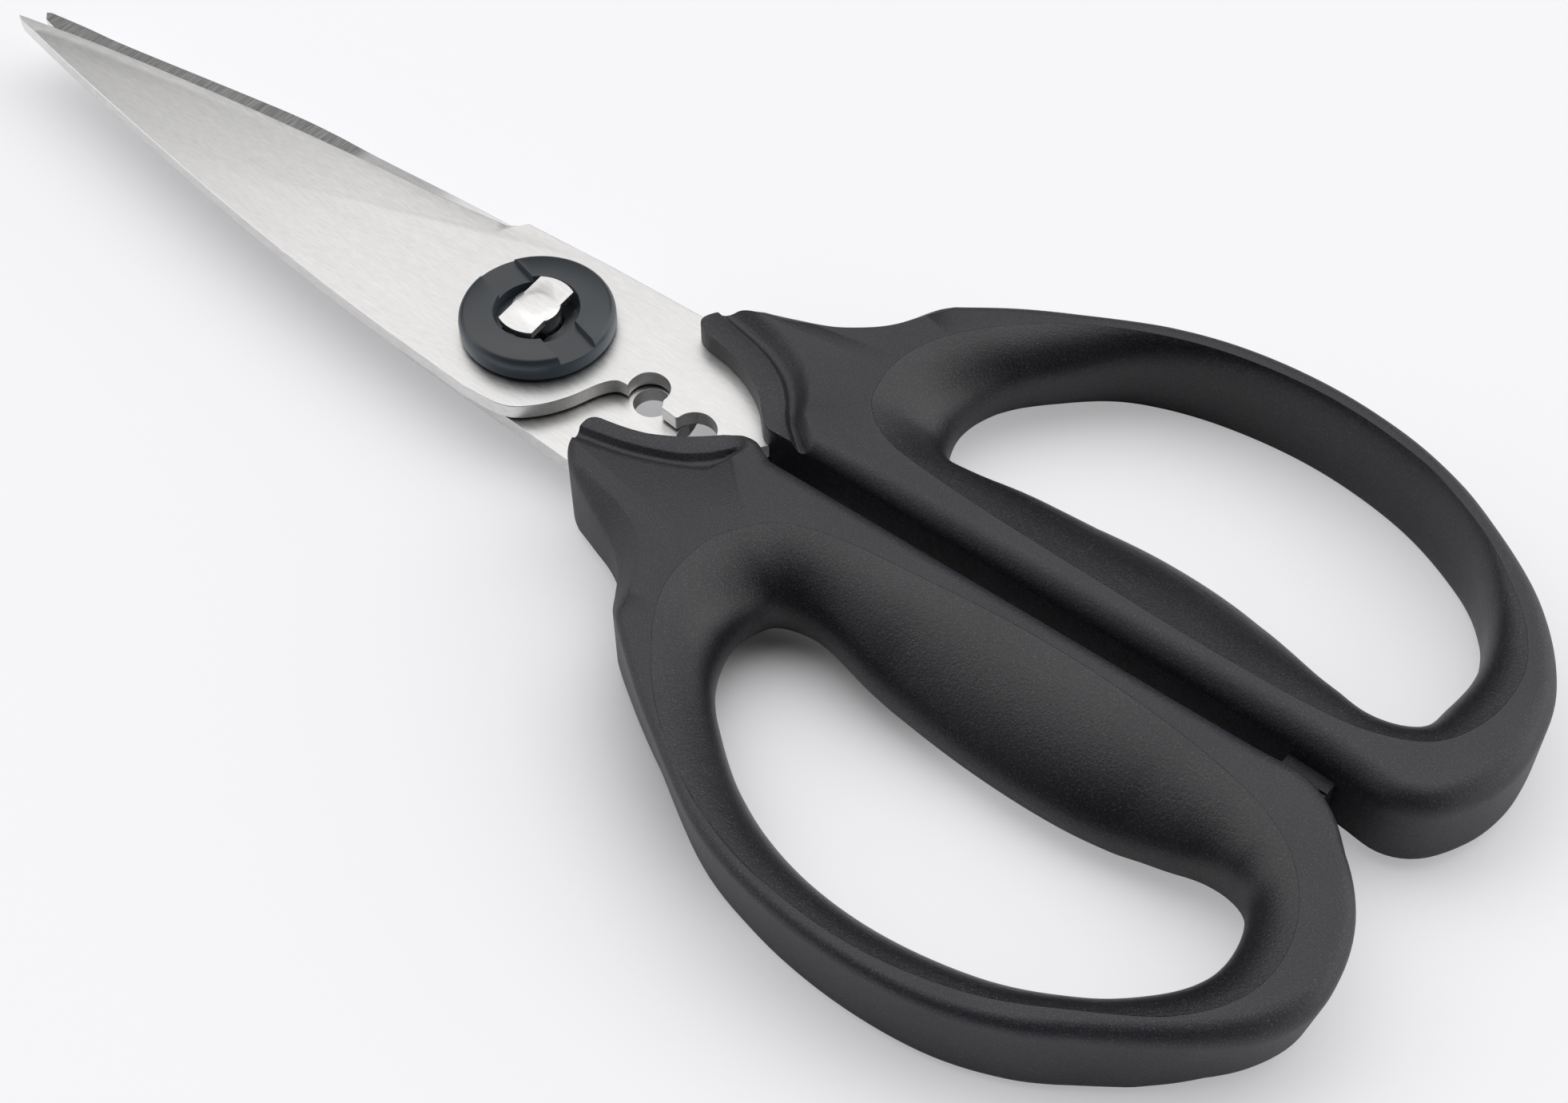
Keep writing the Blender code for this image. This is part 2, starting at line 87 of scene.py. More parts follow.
class HandleSizes(bpy.types.PropertyGroup):
    rib_drop: FloatProperty(name="Rib drop", description="Depth of the collar's rib below the top, mm", default=1.05)
    groove_drop: FloatProperty(name="Groove drop", description="Depth of the groove behind the rib, mm", default=1.9)
    rib_width: FloatProperty(name="Rib width", description="Width of the upper collar's rib, mm", default=3.0)
    lower_rib: FloatProperty(name="Lower rib width", description="Width of the lower collar's rib, mm", default=1.9)
    groove_width: FloatProperty(name="Groove width", description="Width of the groove behind the rib, mm", default=3.3)
    scallop_width: FloatProperty(
        name="Scallop width", description="Width of the neck's slanted facet, mm", default=1.3
    )
    scallop_drop: FloatProperty(name="Scallop drop", description="Height of the neck's slanted facet, mm", default=1.9)
    skew: FloatProperty(
        name="Skew", description="Turn of the pair of handles", subtype="ANGLE", default=math.radians(1.5)
    )
    upper_extra: FloatProperty(name="Upper extra", description="Extra length of the upper loop, mm", default=2.6)
    lower_lean: FloatProperty(name="Lower lean", description="Lean of the lower loop, mm per mm", default=0.06)
    lower_narrowing: FloatProperty(
        name="Lower narrowing", description="Narrowing of the lower loop, mm per mm", default=0.055
    )
    lower_tuck: FloatProperty(
        name="Lower tuck", description="How far the lower loop's outer wall leans in at its foot, mm", default=1.7
    )
    end_tuck: FloatProperty(
        name="End tuck", description="How far the lower loop's far end leans in at its foot, mm", default=2.0
    )


class GripSizes(bpy.types.PropertyGroup):
    slope: FloatProperty(
        name="Slope", description="Slope of the grip where it meets the shell", subtype="ANGLE",
        default=math.radians(22),
    )
    fullness: FloatProperty(name="Fullness", description="How square the narrow side's section is", default=0.22)
    cushion_height: FloatProperty(
        name="Cushion height", description="Height of the wide cushion's waist, mm", default=3.2
    )


class BladeSizes(bpy.types.PropertyGroup):
    bevel_width: FloatProperty(name="Ground width", description="Width of the ground bevel, mm", default=2.0)
    bevel_drop: FloatProperty(name="Ground drop", description="Drop of the ground bevel at the edge, mm", default=0.18)
    edge_break: FloatProperty(name="Broken edge", description="Width of the broken edges, mm", default=0.12)


class PivotSizes(bpy.types.PropertyGroup):
    top_radius: FloatProperty(name="Top radius", description="Radius of the ring's flat top, mm", default=8.45)
    bore: FloatProperty(name="Bore", description="Radius of the ring's bore, mm", default=5.1)
    spigot: FloatProperty(name="Spigot", description="Radius of the ring in the blade's hole, mm", default=6.2)
    ledge_depth: FloatProperty(name="Ledge depth", description="Depth of the ledge in the bore, mm", default=2.0)
    wing_thickness: FloatProperty(name="Wing thickness", description="Thickness of the stud's wings, mm", default=0.9)
    slot_width: FloatProperty(name="Slot width", description="Width of the slot across the top, mm", default=4.8)
    slot_depth: FloatProperty(name="Slot depth", description="Depth of the slot across the top, mm", default=0.8)
    slot_turn: FloatProperty(
        name="Slot turn", description="Direction of the slot", subtype="ANGLE", default=math.radians(-14)
    )
    stud_radius: FloatProperty(name="Stud radius", description="Radius of the stud, mm", default=2.85)
    wing_reach: FloatProperty(name="Wing reach", description="Reach of the stud's wings, mm", default=4.7)
    wing_width: FloatProperty(name="Wing width", description="Width of the stud's wings, mm", default=4.8)
    wing_rise: FloatProperty(name="Wing rise", description="Height of the stud over the ring, mm", default=0.5)
    wing_turn: FloatProperty(
        name="Wing turn", description="Direction of the wings", subtype="ANGLE", default=math.radians(96)
    )


class Finishes(bpy.types.PropertyGroup):
    shell: FloatVectorProperty(
        name="Shell", description="Hard plastic of the handles", subtype="COLOR", default=(0.0068, 0.0063, 0.011)
    )
    grip: FloatVectorProperty(
        name="Grip", description="Soft plastic inside the loops", subtype="COLOR", default=(0.003, 0.0025, 0.0055)
    )
    ring: FloatVectorProperty(
        name="Ring", description="Smooth plastic of the pivot ring", subtype="COLOR", default=(0.014, 0.019, 0.024)
    )
    steel: FloatVectorProperty(
        name="Steel", description="Brushed steel of the blades", subtype="COLOR", default=(0.56, 0.555, 0.55)
    )


class Studio(bpy.types.PropertyGroup):
    floor: FloatVectorProperty(
        name="Floor", description="Colour of the floor", subtype="COLOR", default=(0.92, 0.915, 0.935)
    )
    walls: FloatProperty(name="Walls", description="Brightness of the dark sides", default=0.05)
    ceiling: FloatProperty(name="Ceiling", description="Brightness of the strip of light", default=2.15)
    glow_start: FloatProperty(
        name="Glow start", description="Height over the back where the light starts", subtype="ANGLE",
        default=math.radians(20),
    )
    glow_full: FloatProperty(
        name="Glow full", description="Height over the back where it is full", subtype="ANGLE",
        default=math.radians(55),
    )
    glow_end: FloatProperty(
        name="Glow end", description="Where it starts to fade, past the top", subtype="ANGLE",
        default=math.radians(72),
    )
    dark_start: FloatProperty(
        name="Dark start", description="Where it has faded, towards the front", subtype="ANGLE",
        default=math.radians(114),
    )
    sides: FloatProperty(name="Sides", description="Brightness of the far left, a third of the right's", default=0.7)
    lift: FloatProperty(
        name="Shadow lift", description="Share of the floor's shadow that the camera doesn't see", subtype="FACTOR",
        default=0.4,
    )
    focal: FloatProperty(name="Lens", description="Focal length, mm", subtype="DISTANCE_CAMERA", default=55.78)


SETTINGS = {
    "handle": HandleSizes,
    "grip": GripSizes,
    "blade": BladeSizes,
    "pivot": PivotSizes,
    "finish": Finishes,
    "studio": Studio,
}


class ScissorsSettings(bpy.types.PropertyGroup):
    handle: PointerProperty(type=HandleSizes)
    grip: PointerProperty(type=GripSizes)
    blade: PointerProperty(type=BladeSizes)
    pivot: PointerProperty(type=PivotSizes)
    finish: PointerProperty(type=Finishes)
    studio: PointerProperty(type=Studio)


# Shader maths
class Value:
    """A node's output, with operators that add Math nodes."""

    def __init__(self, shading, socket):
        self.shading = shading
        self.socket = socket

    def math(self, operation, *others):
        sockets = {k: value for k, value in enumerate((self, *others))}
        return self.shading.add("ShaderNodeMath", {"operation": operation}, sockets)[0]

    def __add__(self, other):
        return self.math("ADD", other)

    __radd__ = __add__

    def __mul__(self, other):
        return self.math("MULTIPLY", other)

    def __sub__(self, other):
        return self.math("SUBTRACT", other)

    def __rsub__(self, other):
        return (self * -1) + other


class Shading:
    """A material or world, and the one way its nodes are added."""

    def __init__(self, owner, shader="Principled BSDF"):
        self.owner = owner
        owner.use_nodes = True
        self.tree = owner.node_tree
        self.shader = self.tree.nodes[shader]

    def add(self, kind, settings=None, sockets=None):
        node = self.tree.nodes.new(kind)
        for key, value in (settings or {}).items():
            if key == "ramp":
                for stop, (place, colour) in zip(node.color_ramp.elements, value):
                    stop.position = place
                    stop.color = colour
            else:
                setattr(node, key, value)
        for key, value in (sockets or {}).items():
            self.plug(node.inputs[key], value)
        return [Value(self, socket) for socket in node.outputs if socket.enabled]

    def plug(self, socket, value):
        if isinstance(value, Value):
            self.tree.links.new(value.socket, socket)
        else:
            socket.default_value = value

    def set(self, **sockets):
        for key, value in sockets.items():
            self.plug(self.shader.inputs[key.replace("_", " ")], value)

    def place(self, turn=0.0, scale=(1, 1, 1)):
        """Object coordinates about the pivot."""
        where = self.add("ShaderNodeTexCoord")[3]
        centred = self.add("ShaderNodeVectorMath", {"operation": "SUBTRACT"}, {0: where, 1: PIVOT})[0]
        mapping = {"Vector": centred, "Rotation": (0, 0, turn), "Scale": scale}
        return self.add("ShaderNodeMapping", {}, mapping)[0]

    def noise(self, vector, scale, detail=2.0, roughness=0.5):
        sockets = {"Vector": vector, "Scale": scale, "Detail": detail, "Roughness": roughness}
        return self.add("ShaderNodeTexNoise", {}, sockets)[0]

    def ramp(self, value, low, high, interpolation="LINEAR"):
        """From 0 at the low value to 1 at the high one."""
        settings = {"interpolation_type": interpolation}
        return self.add("ShaderNodeMapRange", settings, {"Value": value, 1: low, 2: high, 3: 0.0, 4: 1.0})[0]

    def step(self, value, low, high):
        return self.ramp(value, low, high, "SMOOTHSTEP")

    def parts(self, vector):
        return self.add("ShaderNodeSeparateXYZ", {}, {0: vector})

    def up(self):
        """How far the surface faces up, from -1 to 1. The hinge is upright, so that a pose doesn't change it."""
        return self.parts(self.add("ShaderNodeNewGeometry")[1])[2]

    def mix(self, share, one, two):
        one, two = (colour if isinstance(colour, Value) else (*colour, 1) for colour in (one, two))
        sockets = {0: share, 6: one, 7: two}
        return self.add("ShaderNodeMix", {"data_type": "RGBA"}, sockets)[0]

    def bump(self, height, strength, distance):
        sockets = {"Height": height, "Strength": strength, "Distance": distance}
        return self.add("ShaderNodeBump", {}, sockets)[0]


PLASTIC_IOR = 1.5
GRAIN = 0.3


def grained(name, colour, roughness, speckle, bump=0.5):
    """Moulded dark plastic: a fine grain in the surface, and small light specks."""
    look = Shading(bpy.data.materials.new(name))
    place = look.place()
    fine = look.noise(place, 1 / (GRAIN * MM), 3.0, 0.7)
    broad = look.noise(place, 90.0, 2.0)
    specks = look.ramp(look.noise(place, 2.2 / (GRAIN * MM), 1.0), 0.58, 0.72)
    light = [channel + speckle for channel in colour]
    look.set(
        Base_Color=look.mix(specks, colour, light),
        Roughness=roughness + (broad - 0.5) * 0.12 + (fine - 0.5) * 0.15,
        Normal=look.bump(fine, bump, 0.1 * MM),
        IOR=PLASTIC_IOR,
    )
    return look.owner


def smooth_plastic(name, colour):
    """Smooth dark plastic, its walls painted lighter: a painted reflection of the pale floor."""
    look = Shading(bpy.data.materials.new(name))
    place = look.place()
    fine = look.noise(place, 2500.0, 2.0)
    broad = look.noise(place, 160.0, 2.0)
    look.set(
        # The walls are painted 3.5 times as light as the flats, a painted reflection of the pale floor
        Base_Color=look.mix(look.step(look.up(), 0.3, 0.85), [channel * 3.5 for channel in colour], colour),
        Roughness=0.36 + (broad - 0.5) * 0.1,
        Normal=look.bump(fine, 0.12, 0.02 * MM),
        IOR=PLASTIC_IOR,
    )
    return look.owner


# Where the steel's tones change, along the blades from the pivot in millimetres: the painted darkening towards the
# tips, the end of the ground part and its painted shade, and the end of the painted half shade
PAINTED_TIP_FADE = (-108.0, -24.0)
GROUND_AND_SHADE_END = (-41.5, -39.0)
SHADE_END = (-30.0, -22.0)


def brushed_steel(name, colour, turn, roughness, depth, ground=0.0):
    """Brushed steel, its lines along the turn, with painted reflections: flats darker towards the tips, walls lighter.
    With a turn for the ground part, its far top is painted darker, a painted shade over its lines across.
    """
    look = Shading(bpy.data.materials.new(name))
    lines = look.noise(look.place(-turn, (500, 3200, 3200)), 1.0, 3.0, 0.65)
    coarse = look.noise(look.place(-turn, (40, 900, 900)), 1.0, 2.0)
    cloud = look.noise(look.place(), 60.0, 2.0)
    tone = look.ramp(lines * 0.8 + coarse * 0.2, 0.3, 0.7)

    def toned(share, low, high):
        return look.mix(share, [c * low for c in colour], [c * high for c in colour])

    def before(ends):
        """The part of the blade from its tip to these ends."""
        return 1 - look.step(along, *(end * MM for end in ends))

    up = look.up()
    along = look.parts(look.place())[0]
    # Lit and shaded copies of the steel: 0.56 times for the painted darker tips, 1.45 times for the painted lighter
    # walls
    near, painted_dim, side = (toned(tone, 0.88 * share, 1.08 * share) for share in (1.0, 0.56, 1.45))
    # Painted reflections: the flat faces are painted darker towards the tips, and the walls painted lighter, as if
    # catching the pale floor
    face = look.mix(before(PAINTED_TIP_FADE) * look.step(up, 0.9974, 0.999), near, painted_dim)
    face = look.mix(look.step(up.math("ABSOLUTE"), 0.3, 0.75), side, face)
    if ground:
        # Painted shade, as under the upper blade: dark towards the tip over the ground part's lines across, and half
        # dark up to the upper blade's shoulder
        top = look.step(up, 0.9, 0.99)
        cross = look.ramp(look.noise(look.place(ground, (4500, 300, 300)), 1.0, 2.0), 0.3, 0.7)
        face = look.mix(before(SHADE_END) * top, face, toned(tone, 0.5, 0.66))
        face = look.mix(before(GROUND_AND_SHADE_END) * top, face, toned(cross, 0.2, 0.42))
    look.set(
        Base_Color=face,
        Metallic=1.0,
        Roughness=roughness + (lines - 0.5) * 0.2 + (cloud - 0.5) * 0.06,
        Normal=look.bump(lines + coarse * 0.2, depth, 0.01 * MM),
    )
    return look.owner


# Outlines
def between(corners, t):
    """The point at this share of the way from the second corner to the third, on a smooth line through all four."""
    return Vector(
        b + t * (c - a) / 2 + t * t * (a - 2.5 * b + 2 * c - d / 2) + t**3 * (1.5 * (b - c) + (d - a) / 2)
        for a, b, c, d in zip(*corners)
    )


def spline(points, steps, before=None, after=None):
    """A smooth line through the points, with the tangents at its ends set by a point before and one after."""
    points = [Vector(point) for point in points]
    before = Vector(before) if before else 2 * points[0] - points[1]
    after = Vector(after) if after else 2 * points[-1] - points[-2]
    row = [before, *points, after]
    out = [between(row[k : k + 4], step / steps) for k in range(len(row) - 3) for step in range(steps)]
    return [*out, points[-1]]


def ring_point(points, place):
    """The point of the closed smooth line at this place, counted in its own points."""
    k = math.floor(place)
    return between([points[(k + j) % len(points)] for j in (-1, 0, 1, 2)], place - k)


def arc(centre, radius, start, end, steps):
    """Points along an arc, its angles in degrees."""
    angles = [math.radians(start + (end - start) * k / steps) for k in range(steps + 1)]
    return [Vector((centre[0] + radius * math.cos(a), centre[1] + radius * math.sin(a))) for a in angles]


def turned(point, angle):
    """The point, turned about the pivot."""
    c, s = math.cos(angle), math.sin(angle)
    return (point[0] * c - point[1] * s, point[0] * s + point[1] * c)


def world(x, y, z):
    """Millimetres about the pivot as a place in the scene."""
    return PIVOT + Vector((x, y, z)) * MM


def climb(value, start, length):
    """From 0 at the start up to 1 over the length, and level before and after."""
    return min(1.0, max(0.0, (value - start) / length))


def share_of(values, t):
    """The value at this share of the way along the values, in straight steps."""
    place = t * (len(values) - 1)
    k = min(int(place), len(values) - 2)
    return values[k] + (values[k + 1] - values[k]) * (place - k)


# Meshes
def skin(contours, ring):
    """A tube through loops of matching points. A ring joins its last loop to its first, a bar is capped."""
    bm = bmesh.new()
    verts = [bm.verts.new(point) for point in contours[0]]
    edges = [bm.edges.new(pair) for pair in zip(verts, verts[1:] + verts[:1])]
    if not ring:
        bmesh.ops.contextual_create(bm, geom=edges)
    for contour in contours[1:] + (contours[:1] if ring else []):
        grown = bmesh.ops.extrude_edge_only(bm, edges=edges)["geom"]
        fresh = {item for item in grown if isinstance(item, bmesh.types.BMVert)}
        edges = [item for item in grown if isinstance(item, bmesh.types.BMEdge) and fresh.issuperset(item.verts)]
        moved = []
        for vert, point in zip(verts, contour):
            new = next(edge.other_vert(vert) for edge in vert.link_edges if edge.other_vert(vert) in fresh)
            new.co = point
            moved.append(new)
        verts = moved
    if not ring:
        bmesh.ops.contextual_create(bm, geom=edges)
    bmesh.ops.remove_doubles(bm, verts=bm.verts, dist=0.002 * MM)
    return bm


def plate(outline, bottom, top):
    """A plate of this outline between two heights."""
    bm = bmesh.new()
    face = bm.faces.new([bm.verts.new(world(x, y, bottom)) for x, y in outline])
    grown = bmesh.ops.extrude_face_region(bm, geom=[face])["geom"]
    verts = [item for item in grown if isinstance(item, bmesh.types.BMVert)]
    bmesh.ops.translate(bm, verts=verts, vec=Vector((0, 0, top - bottom)) * MM)
    return bm


def turned_body(profile, steps):
    """A body of revolution about the pivot, from (radius, height) points."""
    bm = bmesh.new()
    verts = [bm.verts.new(world(radius, 0, z)) for radius, z in profile]
    edges = [bm.edges.new(pair) for pair in zip(verts, verts[1:])]
    if profile[0][0] > 0:
        edges.append(bm.edges.new((verts[-1], verts[0])))
    bmesh.ops.spin(
        bm, geom=verts + edges, cent=PIVOT, axis=(0, 0, 1), angle=math.tau, steps=steps, use_merge=True,
        use_duplicate=False,
    )
    bmesh.ops.remove_doubles(bm, verts=bm.verts, dist=0.001 * MM)
    return bm


def block(x, y, z, angle):
    """A block between these ends, turned about the pivot."""
    corners = [(x[0], y[0]), (x[1], y[0]), (x[1], y[1]), (x[0], y[1])]
    return plate([turned(corner, angle) for corner in corners], *z)


def add_object(name, bm):
    """Puts the mesh in the scene, its faces outward."""
    bmesh.ops.recalc_face_normals(bm, faces=bm.faces)
    mesh = bpy.data.meshes.new(name)
    bm.to_mesh(mesh)
    bm.free()
    obj = bpy.data.objects.new(name, mesh)
    bpy.context.scene.collection.objects.link(obj)
    return obj


def carve(obj, cutters, operation="DIFFERENCE"):
    """Cuts each mesh out of the object, or joins it on, and keeps the result as the object's own mesh."""
    tools = [add_object(f"{obj.name}_tool", bm) for bm in cutters]
    for tool in tools:
        change = obj.modifiers.new(tool.name, "BOOLEAN")
        change.operation = operation
        change.solver = "EXACT"
        change.object = tool
    result = obj.evaluated_get(bpy.context.evaluated_depsgraph_get())
    mesh = bpy.data.meshes.new_from_object(result)
    obj.modifiers.clear()
    obj.data = mesh
    for tool in tools:
        bpy.data.objects.remove(tool)
    if not mesh.polygons:
        raise RuntimeError(f"{obj.name} has nothing left after its cuts")


def finish_piece(obj, material, body, node, angle=30.0):
    """Shades the piece, and makes it ride and stand for its node."""
    for face in obj.data.polygons:
        face.use_smooth = True
    obj.data.set_sharp_from_angle(angle=math.radians(angle))
    obj.data.materials.clear()
    obj.data.materials.append(material)
    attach(obj, body)
    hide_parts(node)


def break_edges(obj, width):
    """Breaks the sharp edges, so that they catch the light."""
    change = obj.modifiers.new("broken_edges", "BEVEL")
    change.width = width * MM
    change.segments = 2
    change.limit_method = "ANGLE"
    change.angle_limit = math.radians(35)
    change.use_clamp_overlap = True
    change.harden_normals = True


# The blades, for the upper one. The lower one mirrors them across the long axis.
EDGE_LINE = [(-92.9, -1.4), (-80.0, 1.25), (-60.0, 4.5), (-40.0, 7.15), (-25.0, 8.8), (-15.0, 10.2)]
SPINE_LINE = [(-92.6, -2.3), (-80.0, -4.4), (-60.0, -7.3), (-40.0, -9.8), (-20.0, -11.6), (0.0, -12.6)]
LOWER_SPINE = [
    (-93.3, -2.8), (-87.0, -3.75), (-80.0, -4.65), (-62.0, -7.7), (-52.0, -9.3), (-45.0, -10.0), (-38.0, -10.4),
    (-20.0, -11.8), (0.0, -12.6),
]
UPPER_TIP = (TIP_X, -1.7)
LOWER_TIP = (TIP_X, -2.4)
BULGE_LINE = [
    (0.0, -12.6), (5.5, -11.9), (8.5, -9.5), (10.5, -6.2), (11.8, -2.6), (13.0, -0.8), (14.5, -0.4),
]
TANG_LINE = [(28.0, -0.6), (31.2, -0.2), (32.4, 1.6), (34.0, 3.8), (39.0, 4.2), (39.0, 10.0)]
SHOULDER_LINE = [(18.5, 10.7), (17.0, 11.4), (16.4, 13.55), (0.0, 12.9), (-13.0, 12.0), (-13.7, 10.9)]
HEEL_LINE = [(18.5, 10.7), (16.4, 11.6), (15.4, 12.0), (0.0, 11.4), (-13.0, 10.8), (-14.0, 10.5)]
LOBE_LINE = [(9.5, -8.1), (13.5, -6.8), (18.0, -6.4), (21.0, -5.0), (22.2, -2.6), (22.6, -1.0)]
NOTCHES = (((16.8, 0.75), 2.5), ((25.05, -0.8), 2.65))
LOWER_EYE = ((17.1, -0.8), 2.2)
LOWER_NOTCH = ((25.1, 0.0), 2.7)


def blade_outline(upper):
    """Round the blade from its tip along the spine, over the notches to the tang, and back along the edge."""
    edge = reversed(spline(EDGE_LINE, 6))
    if upper:
        first, second = NOTCHES
        notched = [*arc(*first, 209, -8, 28), (19.85, -0.55), (22.2, -0.75), *arc(*second, 176, 4, 24)]
        start = [UPPER_TIP, *spline(SPINE_LINE, 6)[:-1], *spline(BULGE_LINE, 5)[:-1]]
        return [*start, *notched, *TANG_LINE, *SHOULDER_LINE, *edge]
    start = [LOWER_TIP, *spline(LOWER_SPINE, 6)[:-1], *spline(BULGE_LINE[:3], 5)[:-1], *spline(LOBE_LINE, 5)]
    return [*start, *arc(*LOWER_NOTCH, 180, -18, 24), *TANG_LINE, *HEEL_LINE, *edge]


def grind(side, face, sizes):
    """What the grinding wheel takes off along the cutting edge."""
    slope = sizes.bevel_drop / sizes.bevel_width
    past = 3.0
    rows = [
        [
            (x, y - sizes.bevel_width, 0.0),
            (x, y + past, -slope * (sizes.bevel_width + past)),
            (x, y + past, 2.0),
            (x, y - sizes.bevel_width, 2.0),
        ]
        for x, y in spline(EDGE_LINE, 6)
    ]
    rows.insert(0, [(TIP_X - 4, y, z) for x, y, z in rows[0]])
    rows.append([(x + 1.2, y + 1.0, z + sizes.bevel_drop) for x, y, z in rows[-1]])
    return skin([[world(x, side * y, face + side * z) for x, y, z in row] for row in rows], ring=False)


def add_blade(upper, settings, material):
    side = 1 if upper else -1
    name = "upper" if upper else "lower"
    bottom, top = (UPPER_BOTTOM, UPPER_TOP) if upper else (LOWER_BOTTOM, LOWER_TOP)
    outline = [(x, side * y) for x, y in blade_outline(upper)]
    obj = add_object(f"{name}_plate", plate(outline, bottom, top))
    hole = (settings.pivot.spigot if upper else settings.pivot.stud_radius) + 0.3
    tools = [plate(arc((0, 0), hole, 0, 360, 96)[:-1], bottom - 1, top + 1)]
    tools.append(grind(side, top if upper else bottom, settings.blade))
    if not upper:
        eye = [(x, side * y) for x, y in arc(*LOWER_EYE, 0, 360, 48)[:-1]]
        tools.append(plate(eye, bottom - 1, top + 1))
    carve(obj, tools)
    break_edges(obj, settings.blade.edge_break)
    finish_piece(obj, material, f"{name}_half", f"{name}_blade", angle=20.0)


# The pivot
def ring_mesh(sizes):
    """The ring: a spigot in the blade's hole, a flange with a rounded rim, and a bore with a ledge."""
    ledge_bore = sizes.stud_radius + 0.3
    base = UPPER_TOP + 0.3
    profile = [
        (ledge_bore, UPPER_BOTTOM), (sizes.spigot, UPPER_BOTTOM), (sizes.spigot, base), (RING_RADIUS - 0.2, base),
        (RING_RADIUS, base + 0.3), (RING_RADIUS, RING_TOP - 1.35), (RING_RADIUS - 0.08, RING_TOP - 0.85),
        (RING_RADIUS - 0.28, RING_TOP - 0.42), (RING_RADIUS - 0.58, RING_TOP - 0.12),
        (sizes.top_radius, RING_TOP), (sizes.bore + 0.1, RING_TOP), (sizes.bore, RING_TOP - 0.1),
        (sizes.bore, RING_TOP - sizes.ledge_depth), (ledge_bore, RING_TOP - sizes.ledge_depth),
    ]
    return turned_body(profile, 128)


def stud_mesh(sizes):
    """The stud: a flat head under the lower blade, and a pin up through the ring."""
    head_top = LOWER_BOTTOM - 0.3
    top = RING_TOP + sizes.wing_rise
    radius = sizes.stud_radius
    profile = [
        (0, HEAD_BOTTOM), (5.4, HEAD_BOTTOM), (5.8, HEAD_BOTTOM + 0.2), (6.0, HEAD_BOTTOM + 0.6), (6.0, head_top),
        (radius, head_top), (radius, top - 0.2), (radius - 0.35, top - 0.08), (radius - 0.8, top - 0.02),
        (radius * 0.5, top), (0, top),
    ]
    return turned_body(profile, 96)


def wing_mesh(sizes, room, bottom, top):
    """The two wings with this much room all round: the stud's own, or the keyway that lets them through."""
    reach = sizes.wing_reach + room
    spread = math.degrees(math.asin((sizes.wing_width / 2 + room) / reach))
    ends = [*arc((0, 0), reach, -spread, spread, 16), *arc((0, 0), reach, 180 - spread, 180 + spread, 16)]
    return plate([turned(point, sizes.wing_turn) for point in ends], bottom, top)


# The handles' lines, as (along, outward) from the pivot
WALL = 1.8
UPPER_AXIS = [(33.4, WALL), (50.0, WALL), (80.0, WALL), (100.0, WALL - 0.2), (106.0, 1.2)]
LOWER_AXIS = [(38.8, WALL), (50.0, WALL), (80.0, WALL), (100.0, WALL), (106.0, WALL - 0.2)]
UPPER_END = [
    (106.0, 1.2), (110.8, 0.8), (114.6, 2.8), (117.4, 7.4), (118.6, 12.3), (118.5, 17.3), (117.5, 22.4),
    (115.3, 27.0),
]
LOWER_END = [
    (106.0, WALL - 0.2), (109.9, 2.5), (113.3, 4.6), (116.8, 8.3), (119.3, 13.0), (120.4, 18.3), (120.2, 23.6),
    (117.9, 28.6),
]
UPPER_SIDE = [
    (115.3, 27.0), (112.1, 31.4), (108.2, 35.2), (102.6, 39.2), (96.6, 42.6), (88.8, 45.2), (79.0, 46.4),
    (69.0, 45.6), (60.0, 42.9), (50.0, 37.8), (44.0, 34.2), (38.6, 30.2),
]
LOWER_SIDE = [
    (117.9, 28.6), (114.0, 32.8), (109.4, 36.4), (103.6, 40.4), (97.4, 44.3), (89.1, 47.4), (79.0, 48.6),
    (68.8, 47.8), (59.6, 44.9), (49.4, 38.4), (43.6, 34.1), (38.2, 29.5),
]
UPPER_SCALLOP = [
    (38.6, 30.2), (36.3, 28.6), (34.5, 26.5), (32.8, 24.3), (31.0, 22.5), (28.6, 20.4), (25.3, 18.2), (21.7, 15.9),
]
LOWER_SCALLOP = [
    (38.2, 29.5), (36.5, 27.8), (35.0, 25.4), (33.4, 22.9), (31.5, 20.9), (29.0, 19.3), (25.4, 17.7), (21.7, 15.9),
]
UPPER_BACK = [
    (21.7, 15.9), (19.3, 14.6), (17.6, 13.3), (16.6, 11.9), (16.3, 10.7), (16.9, 9.8), (18.3, 9.2), (19.9, 8.95),
]
LOWER_BACK = [
    (21.7, 15.9), (20.0, 14.6), (18.8, 13.0), (18.3, 11.3), (18.0, 9.6), (18.1, 8.2), (18.9, 7.4), (20.2, 7.1),
]
UPPER_FRONT = [
    (19.9, 8.95), (21.9, 8.6), (24.3, 7.9), (26.9, 6.7), (29.3, 5.1), (31.3, 3.1), (32.3, 2.2), (33.4, WALL),
]
LOWER_FRONT = [
    (20.2, 7.1), (22.0, 6.7), (24.0, 6.1), (26.3, 5.2), (28.6, 4.1), (30.6, 2.9), (32.6, 1.6), (34.4, 0.8),
    (36.0, 0.6), (37.4, 1.2), (38.8, WALL),
]
UPPER_RIB = [(17.0, 9.5), (21.2, 8.7), (24.3, 7.9), (26.9, 6.7), (29.3, 5.1), (31.3, 3.1), (32.9, WALL)]
LOWER_RIB = [
    (18.0, 7.6), (22.0, 6.7), (24.0, 6.1), (26.3, 5.2), (28.6, 4.1), (30.6, 2.9), (32.6, 1.6), (34.4, 0.8),
    (36.0, 0.6),
]
UPPER_CREASE = [
    (38.9, 18.4), (39.6, 13.3), (41.4, 10.4), (45.3, 8.0), (51.0, 7.0), (61.0, 6.2), (75.0, 5.6), (88.0, 5.2),
    (99.0, 5.4), (105.5, 6.4), (110.9, 9.4), (113.6, 15.3), (113.7, 21.9), (111.6, 27.1), (107.6, 31.9),
    (101.1, 37.3), (91.7, 41.8), (80.0, 43.8), (68.2, 42.8), (58.1, 39.4), (49.5, 34.3), (43.6, 28.6), (40.2, 23.5),
]
